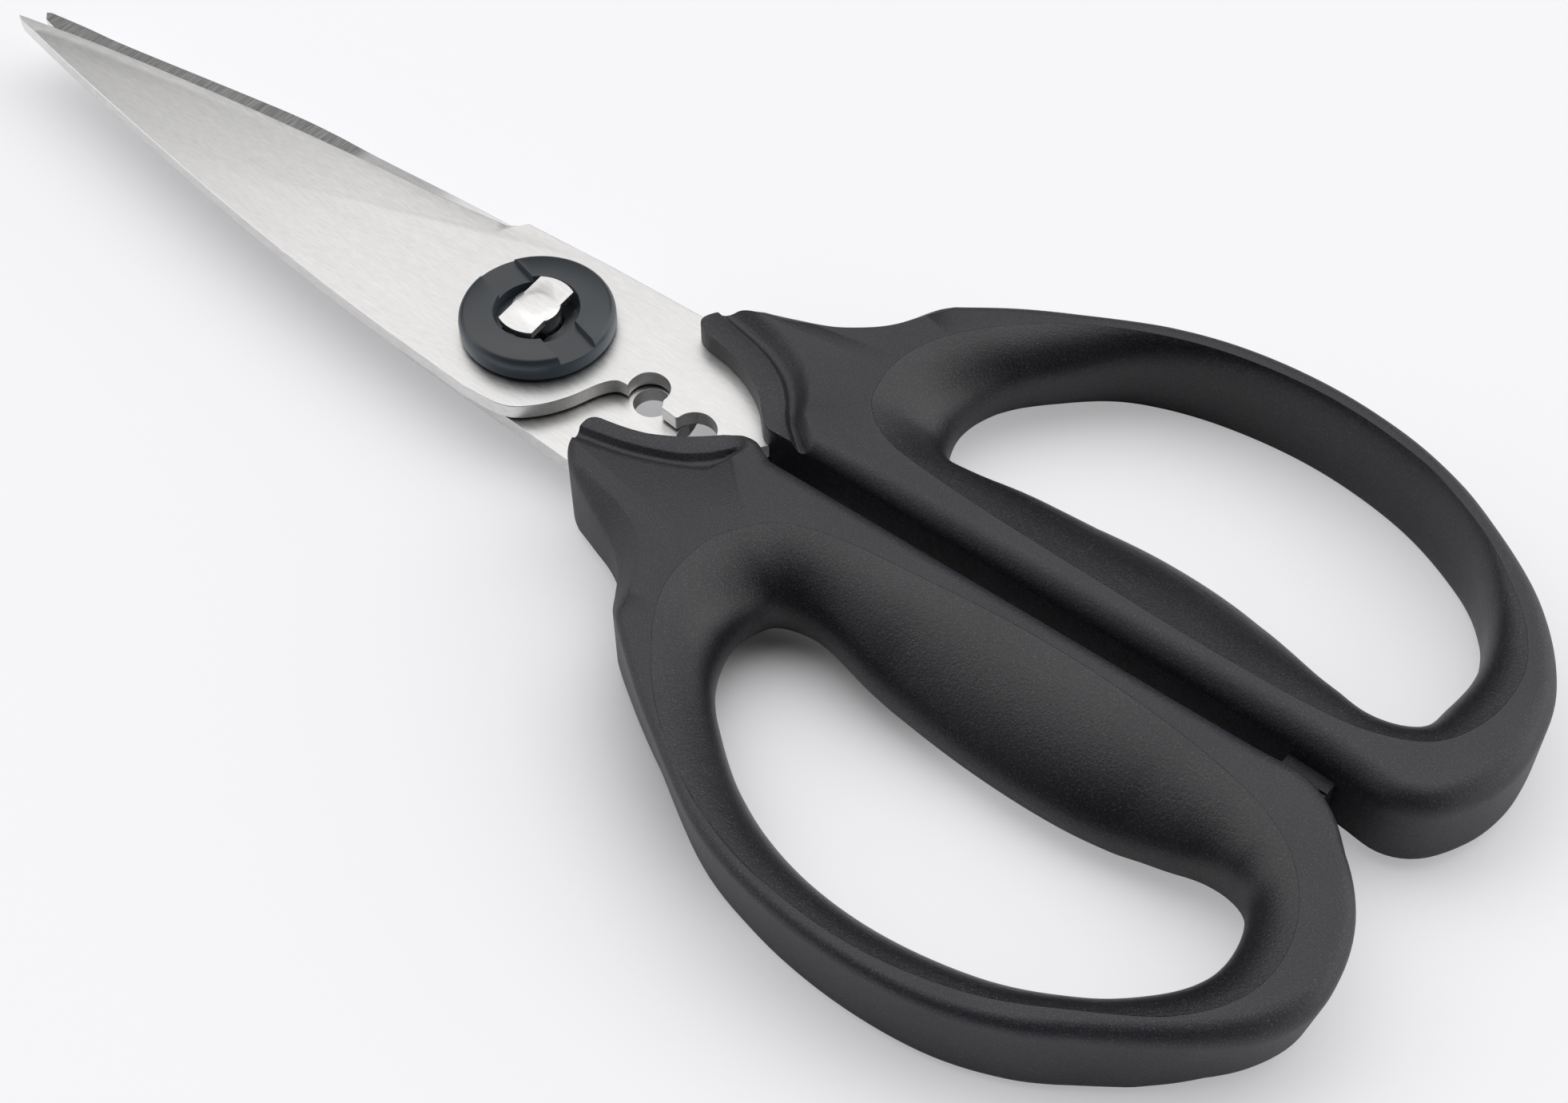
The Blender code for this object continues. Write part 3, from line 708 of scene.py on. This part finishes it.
LOWER_CREASE = [
    (39.7, 18.5), (40.5, 14.0), (42.2, 10.9), (45.1, 7.7), (50.8, 5.6), (61.0, 4.6), (75.0, 3.8), (88.0, 4.1),
    (99.1, 5.3), (105.2, 6.9), (110.3, 10.2), (113.8, 15.6), (114.9, 22.0), (113.4, 27.9), (109.2, 33.4),
    (102.0, 38.4), (92.2, 43.7), (80.0, 46.5), (67.2, 45.7), (56.8, 41.9), (48.3, 35.7), (42.8, 28.8), (40.2, 23.4),
]
UPPER_WAIST = [
    (47.6, 19.4), (48.3, 16.6), (49.6, 14.4), (52.2, 13.3), (55.6, 13.6), (63.0, 15.9), (76.0, 17.5), (88.0, 16.3),
    (98.2, 12.0), (104.0, 10.7), (108.0, 12.5), (108.9, 16.6), (109.3, 21.5), (108.5, 25.9), (106.0, 30.9),
    (100.9, 36.6), (92.0, 41.0), (80.0, 43.1), (69.1, 42.1), (60.2, 38.2), (53.6, 31.6), (49.8, 26.9), (48.0, 22.8),
]
LOWER_WAIST = [
    (47.6, 19.4), (48.3, 16.6), (49.6, 14.4), (52.2, 13.3), (55.6, 13.3), (63.0, 15.0), (76.0, 16.6), (88.0, 16.6),
    (98.2, 14.8), (103.6, 13.6), (107.9, 14.2), (109.6, 17.0), (110.2, 21.6), (109.2, 26.0), (105.9, 30.6),
    (100.2, 35.6), (91.6, 39.8), (80.0, 42.0), (69.5, 41.2), (60.6, 37.6), (53.6, 31.6), (49.8, 26.9), (48.0, 22.8),
]
# By side: each part of the outline, its steps, whether it is scalloped, the crease's points that it faces
# and the radius of its edge, from its start to its end
SECTIONS = {
    1: (
        (UPPER_AXIS, 18, False, (2.9, 9.0), (1.5, 2.7, 2.9, 3.0, 3.0)),
        (UPPER_END, 5, False, (9.0, 13.3), (3.0, 2.4)),
        (UPPER_SIDE, 7, False, (13.3, 21.3), (2.4, 1.5)),
        (UPPER_SCALLOP, 4, True, (21.3, 23.3), (1.5, 1.5)),
        (UPPER_BACK, 3, False, (23.3, 24.0), (1.5, 1.0)),
        (UPPER_FRONT, 4, False, (24.0, 25.9), (1.0, 1.5)),
    ),
    -1: (
        (LOWER_AXIS, 18, False, (2.9, 9.0), (1.5, 1.5)),
        (LOWER_END, 5, False, (9.0, 13.3), (1.5, 3.0)),
        (LOWER_SIDE, 7, False, (13.3, 21.3), (3.0, 2.2, 1.5, 1.4, 1.2, 1.2)),
        (LOWER_SCALLOP, 4, True, (21.3, 23.3), (1.2, 1.5)),
        (LOWER_BACK, 3, False, (23.3, 24.0), (1.5, 1.0)),
        (LOWER_FRONT, 4, False, (24.0, 25.9), (1.0, 1.0, 1.5)),
    ),
}
LINER = {1: (UPPER_CREASE, UPPER_WAIST), -1: (LOWER_CREASE, LOWER_WAIST)}

# How the lines bend into place: the lower loop's shift, the loops' reach and end, and where the bend starts
LOWER_SHIFT = (-1.0, 0.3)
LOOP_REACH = 46.5
LOOP_END = 118.8
BEND_START = 60.0
# The lower loop's foot leans in over its outer side, less towards the end, where its end leans in instead
TUCK_SIDE = (28.0, 10.0)
TUCK_FADE = (112.0, 45.0)
END_START = (102.0, 18.0)
END_SIDE = (14.0, 12.0)
END_CURVE = (0.0, 0.2, 0.8, 1.0)


def placed(point, z, side, sizes):
    """A point of the outlines in the world: the upper loop is longer, and the lower one leans."""
    u, v = point
    if side > 0:
        u += sizes.upper_extra * max(0.0, u - BEND_START) / (LOOP_END - BEND_START)
    else:
        past = v - LOOP_REACH / 2
        foot = 1 - z / THICKNESS
        u += LOWER_SHIFT[0] + sizes.lower_lean * past
        tuck = sizes.lower_tuck * climb(-u, -TUCK_FADE[0], TUCK_FADE[1]) * climb(v, *TUCK_SIDE)
        v += (LOWER_SHIFT[1] - sizes.lower_narrowing * past) * climb(v, WALL, 4)
        v -= tuck * foot
        end = sizes.end_tuck * share_of(END_CURVE, climb(u, *END_START)) * foot
        u -= end
        v -= end * climb(v, *END_SIDE) / 3
    return world(*turned((u, side * v), sizes.skew), z)


def handle_outline(side):
    """The outline's points, each with its share of the scallop, its place on the crease and its edge's radius."""
    out = []
    lines = [section[0] for section in SECTIONS[side]]
    for n, (line, steps, scalloped, faced, radii) in enumerate(SECTIONS[side]):
        # Smooth from the axis round to the collar, whose front keeps its corners
        row = spline(line, steps, lines[n - 1][-2] if 0 < n < 5 else None, lines[n + 1][1] if n < 4 else None)
        for k, point in enumerate(row[:-1]):
            t = k / (len(row) - 1)
            facet = math.sin(math.pi * t) if scalloped else 0.0
            out.append((point, facet, share_of(faced, t), share_of(radii, t)))
    return out


def ways_in(points, closed=True):
    """The direction into the material at each point, as long as keeps an inset even."""
    ways = []
    last = len(points) - 1
    for k, point in enumerate(points):
        before = points[k - 1] if k or closed else 2 * point - points[1]
        after = points[(k + 1) % len(points)] if k < last or closed else 2 * point - points[k - 1]
        one, two = (point - before).normalized(), (after - point).normalized()
        along = (one + two).normalized()
        ways.append(Vector((-along.y, along.x)) / max(0.7, along.dot(two)))
    return ways


def unfolded(contour, guide):
    """The contour, with each stretch that runs against its guide drawn together."""
    contour = list(contour)
    count = len(contour)
    for _ in range(12):
        for k in range(count):
            after = (k + 1) % count
            if (contour[after] - contour[k]).dot(guide[after] - guide[k]) < 0:
                middle = (contour[k] + contour[after]) / 2
                contour[k] = middle
                contour[after] = middle.copy()
    return contour


def edge_profile(facet, radius, sizes, steps=10):
    """(inset, drop) from the wall up to the top: a round edge, blended into the scallop's slanted facet."""
    out = []
    for k in range(steps + 1):
        t = k / steps
        inset = radius * (1 - math.cos(t * math.pi / 2))
        drop = radius * (1 - math.sin(t * math.pi / 2))
        inset += facet * (t * (radius + sizes.scallop_width) - inset)
        drop += facet * ((1 - t) * (radius + sizes.scallop_drop) - drop)
        out.append((inset, drop))
    return out


def shell_mesh(side, sizes):
    """The hard shell: its wall and edges, and the flat up to the crease, mirrored below the middle."""
    outline = handle_outline(side)
    walls = [point for point, _, _, _ in outline]
    ways = ways_in(walls)
    profiles = [edge_profile(facet, radius, sizes) for _, facet, _, radius in outline]
    crease = [ring_point(LINER[side][0], place) for _, _, place, _ in outline]
    upper = []
    for k in range(len(profiles[0])):
        contour = [wall + way * profile[k][0] for wall, way, profile in zip(walls, ways, profiles)]
        upper.append(list(zip(unfolded(contour, walls), [THICKNESS - profile[k][1] for profile in profiles])))
    upper.append([(point, THICKNESS) for point in crease])
    under = [[(point, THICKNESS - z) for point, z in contour] for contour in reversed(upper)]
    contours = [[placed(point, z, side, sizes) for point, z in contour] for contour in under + upper]
    return skin(contours, ring=True)


def grip_mesh(side, handle, sizes):
    """The soft grip: a rounded section from the crease, with a wide cushion on the axis side."""
    rows = []
    for _, _, place, _ in handle_outline(side):
        crease, waist = (ring_point(line, place) for line in LINER[side])
        outer = crease + (waist - crease).normalized() * 0.03
        wide = climb((waist - crease).length, 6.0, 5.0)
        height = MIDDLE + (sizes.cushion_height - MIDDLE) * wide
        power = 1 - sizes.fullness * (1 - wide)
        base = math.sin(sizes.slope) ** power
        row = []
        for k in range(21):
            phi = sizes.slope + (math.pi - 2 * sizes.slope) * k / 20
            share = (math.sin(phi) ** power - base) / (1 - base)
            rise = math.copysign((abs(math.cos(phi)) / math.cos(sizes.slope)) ** power, math.cos(phi))
            z = height + rise * (THICKNESS - height if rise > 0 else height)
            row.append(placed(outer + (waist - outer) * share, z, side, handle))
        rows.append(row)
    return skin([list(contour) for contour in zip(*rows)], ring=True)


# The step from the rib down into the groove, and the groove's rise to the shell: shares of its width and depth
RIB_STEP = ((0.06, 0.12), (0.16, 0.8), (0.27, 1.0))
GROOVE_RISE = ((0.4, 0.97), (0.53, 0.8), (0.67, 0.5), (0.8, 0.24), (0.92, 0.06), (1.04, 0.0))


def rib_tool(side, under, sizes):
    """The air over the collar's rib and groove, along its front. The lower one fades out at the axis."""
    line = spline(UPPER_RIB if side > 0 else LOWER_RIB, 6)
    line.insert(0, line[0] + (line[0] - line[1]).normalized() * 6)
    line.append(line[-1] + (line[-1] - line[-2]).normalized() * 8)
    wide, least = (sizes.rib_width, 0.75) if side > 0 else (sizes.lower_rib, 0.5)
    rows = []
    for k, (point, way) in enumerate(zip(line, ways_in(line, closed=False))):
        left = len(line) - 2 - k
        taper = least + (1 - least) * climb(left, 0, 16)
        share = 1.0 if side > 0 else climb(left, 0, 12)
        share *= share * (3 - 2 * share)
        rib, groove = (drop * share - 0.03 * (1 - share) for drop in (sizes.rib_drop, sizes.groove_drop))
        inner, valley = wide * taper, sizes.groove_width * taper
        profile = [(-2.5, -1.0), (-2.5, rib), (inner, rib)]
        profile += [(inner + place * valley, rib + level * (groove - rib)) for place, level in RIB_STEP]
        profile += [(inner + place * valley, level * groove) for place, level in GROOVE_RISE]
        profile.append((inner + 1.15 * valley, -1.0))
        rows.append(
            [placed(point + way * inset, drop if under else THICKNESS - drop, side, sizes) for inset, drop in profile]
        )
    return skin(rows, ring=False)


TANG_ROOM = [
    (8.0, 11.6), (8.0, -4.0), (28.0, -4.0), (32.0, 0.0), (33.8, 3.4), (39.3, 3.8), (39.3, 10.4), (18.5, 11.1),
    (16.0, 11.5),
]


def tang_tool(side):
    """The slot that takes the blade's tang."""
    bottom, top = (UPPER_BOTTOM, UPPER_TOP) if side > 0 else (LOWER_BOTTOM, LOWER_TOP)
    return plate([(x, side * y) for x, y in TANG_ROOM], bottom - 0.1, top + 0.1)


def add_handle(name, side, settings, shell, grip):
    """Adds one handle's shell, cut for its rib and tang, and its grip."""
    obj = add_object(f"{name}_shell", shell_mesh(side, settings.handle))
    carve(obj, [rib_tool(side, under, settings.handle) for under in (False, True)] + [tang_tool(side)])
    finish_piece(obj, shell, f"{name}_half", f"{name}_handle", angle=38.0)
    obj = add_object(f"{name}_grip", grip_mesh(side, settings.handle, settings.grip))
    finish_piece(obj, grip, f"{name}_half", f"{name}_liner", angle=60.0)


# Operators
class SCISSORS_OT_add_blades(bpy.types.Operator):
    """Adds both ground and brushed blades"""

    bl_idname = "scissors.add_blades"
    bl_label = "Add the blades"

    def execute(self, context):
        settings = context.scene.scissors
        colour = settings.finish.steel
        lines = math.radians(80)
        add_blade(True, settings, brushed_steel("brushed_steel_upper", colour, lines, 0.4, 0.3))
        add_blade(False, settings, brushed_steel("brushed_steel_lower", colour, -lines, 0.4, 0.3, 0.45))
        return {"FINISHED"}


class SCISSORS_OT_add_pivot(bpy.types.Operator):
    """Adds the keyed ring and the winged stud"""

    bl_idname = "scissors.add_pivot"
    bl_label = "Add the pivot"

    def execute(self, context):
        settings = context.scene.scissors
        sizes = settings.pivot
        obj = add_object("ring", ring_mesh(sizes))
        half = sizes.slot_width / 2
        wide = RING_RADIUS + 2
        slot = block((-wide, wide), (-half, half), (RING_TOP - sizes.slot_depth, RING_TOP + 2), sizes.slot_turn)
        carve(obj, [slot, wing_mesh(sizes, 0.3, RING_TOP - sizes.ledge_depth - 1, RING_TOP + 2)])
        break_edges(obj, 0.15)
        finish_piece(obj, smooth_plastic("ring_plastic", settings.finish.ring), "upper_half", "pivot_ring")
        obj = add_object("stud", stud_mesh(sizes))
        rise = RING_TOP + sizes.wing_rise
        carve(obj, [wing_mesh(sizes, 0.0, rise - 0.08 - sizes.wing_thickness, rise - 0.08)], "UNION")
        break_edges(obj, 0.15)
        colour = [c * 0.95 for c in settings.finish.steel]
        steel = brushed_steel("turned_steel", colour, 0.6, 0.26, 0.12)
        finish_piece(obj, steel, "lower_half", "pivot_stud")
        return {"FINISHED"}


class SCISSORS_OT_add_handles(bpy.types.Operator):
    """Adds the shells of the handles and the soft grips in their loops"""

    bl_idname = "scissors.add_handles"
    bl_label = "Add the handles"

    def execute(self, context):
        settings = context.scene.scissors
        shell = grained("shell_plastic", settings.finish.shell, 0.5, 0.048)
        grip = grained("grip_plastic", settings.finish.grip, 0.4, 0.048)
        add_handle("upper", 1, settings, shell, grip)
        add_handle("lower", -1, settings, shell, grip)
        return {"FINISHED"}


class SCISSORS_OT_add_stops(bpy.types.Operator):
    """Gives the stops between the handles their plastic"""

    bl_idname = "scissors.add_stops"
    bl_label = "Finish the stops"

    def execute(self, context):
        colour = [c * 0.8 for c in context.scene.scissors.finish.shell]
        plastic = grained("stop_plastic", colour, 0.55, 0.024)
        for node in ("upper_stop", "lower_stop"):
            frame["nodes"][node].data.materials.clear()
            frame["nodes"][node].data.materials.append(plastic)
        return {"FINISHED"}


# The camera's place about the pivot, and the floor's one spot whose shadow isn't lifted, in millimetres
CAMERA_PLACE = (152.84, -136.12, 213.15)
CAMERA_HEADING = math.radians(40.25)
CAMERA_TILT = math.radians(50.7)
CAMERA_ROLL = math.radians(-0.6)
SENSOR_WIDTH = 36.0
DARK_SPOT = (51, -25, 0)
DARK_SPOT_RADII = (10.0, 28.0)
FLOOR_SIZE = 6.0
# The right side's brightness against the left's, and where each starts, as shares of the way to the side
RIGHT_SHARE = 3
RIGHT_SIDE = (0.55, 0.9)
LEFT_SIDE = (0.7, 1.0)


class SCISSORS_OT_add_studio(bpy.types.Operator):
    """Adds the pale floor, the soft light and the camera"""

    bl_idname = "scissors.add_studio"
    bl_label = "Add the studio"

    def execute(self, context):
        studio = context.scene.scissors.studio
        bm = bmesh.new()
        bmesh.ops.create_grid(bm, x_segments=1, y_segments=1, size=FLOOR_SIZE / 2)
        floor = add_object("floor", bm)
        look = Shading(bpy.data.materials.new("floor_paper"))
        look.set(Base_Color=(*studio.floor, 1), Roughness=0.9, Specular_IOR_Level=0.1)
        # The photograph's shadows are faded, but for the one in the lower loop
        seen = look.add("ShaderNodeLightPath")[0]
        where = look.add("ShaderNodeTexCoord")[3]
        away = look.add("ShaderNodeVectorMath", {"operation": "DISTANCE"}, {0: where, 1: world(*DARK_SPOT)})[0]
        white = look.add("ShaderNodeEmission", {}, {"Color": (*studio.floor, 1), "Strength": 0.96})[0]
        lifted = seen * look.step(away, *(radius * MM for radius in DARK_SPOT_RADII)) * studio.lift
        lit = Value(look, look.shader.outputs[0])
        mixed = look.add("ShaderNodeMixShader", {}, {0: lifted, 1: lit, 2: white})[0]
        look.plug(look.tree.nodes["Material Output"].inputs["Surface"], mixed)
        floor.data.materials.append(look.owner)

        # A wide strip of light from the back over the top to the front, by its angle above the back's horizon
        sky = Shading(bpy.data.worlds.new("studio"), "Background")
        ray = sky.add("ShaderNodeTexCoord")[0]
        turn = {"Vector": ray, "Rotation": (0, 0, -CAMERA_HEADING)}
        right, back, high = sky.parts(sky.add("ShaderNodeMapping", {}, turn)[0])
        angle = high.math("ARCTAN2", back)
        fade = sky.step(angle, studio.glow_end, studio.dark_start)
        strip = sky.step(angle, studio.glow_start, studio.glow_full) * (1 - fade)
        low = sky.step(right, *RIGHT_SIDE) * studio.sides * RIGHT_SHARE
        low = low + sky.step(right * -1, *LEFT_SIDE) * studio.sides + studio.walls
        glow = strip * studio.ceiling + (1 - strip) * low
        seen = sky.add("ShaderNodeLightPath")[0]
        sky.set(Color=(1, 1, 1, 1), Strength=glow + seen * (1.0 - glow))
        context.scene.world = sky.owner

        camera = bpy.data.objects.new("camera", bpy.data.cameras.new("camera"))
        camera.data.sensor_width = SENSOR_WIDTH
        camera.data.lens = studio.focal
        camera.data.clip_start = 0.01
        turn = Matrix.Rotation(CAMERA_HEADING, 4, "Z") @ Matrix.Rotation(math.pi / 2 - CAMERA_TILT, 4, "X")
        camera.matrix_world = Matrix.Translation(world(*CAMERA_PLACE)) @ turn @ Matrix.Rotation(CAMERA_ROLL, 4, "Z")
        context.scene.collection.objects.link(camera)
        context.scene.camera = camera
        context.scene.view_settings.view_transform = "Standard"
        return {"FINISHED"}


OPERATORS = (
    SCISSORS_OT_add_studio,
    SCISSORS_OT_add_blades,
    SCISSORS_OT_add_pivot,
    SCISSORS_OT_add_handles,
    SCISSORS_OT_add_stops,
)


class SCISSORS_PT_panel(bpy.types.Panel):
    bl_label = "Herb scissors"
    bl_idname = "SCISSORS_PT_panel"
    bl_space_type = "VIEW_3D"
    bl_region_type = "UI"
    bl_category = "Scissors"

    def draw(self, context):
        for operator in OPERATORS:
            self.layout.operator(operator.bl_idname)
        for name, group in SETTINGS.items():
            column = self.layout.column()
            column.label(text=name.capitalize())
            for key in group.__annotations__:
                column.prop(getattr(context.scene.scissors, name), key)


CLASSES = (*SETTINGS.values(), ScissorsSettings, *OPERATORS, SCISSORS_PT_panel)


def register():
    for cls in CLASSES:
        bpy.utils.register_class(cls)
    bpy.types.Scene.scissors = PointerProperty(type=ScissorsSettings)


def unregister():
    del bpy.types.Scene.scissors
    for cls in reversed(CLASSES):
        bpy.utils.unregister_class(cls)


def main():
    register()
    for operator in OPERATORS:
        group, name = operator.bl_idname.split(".")
        getattr(getattr(bpy.ops, group), name)()


if __name__ == "__main__":
    main()
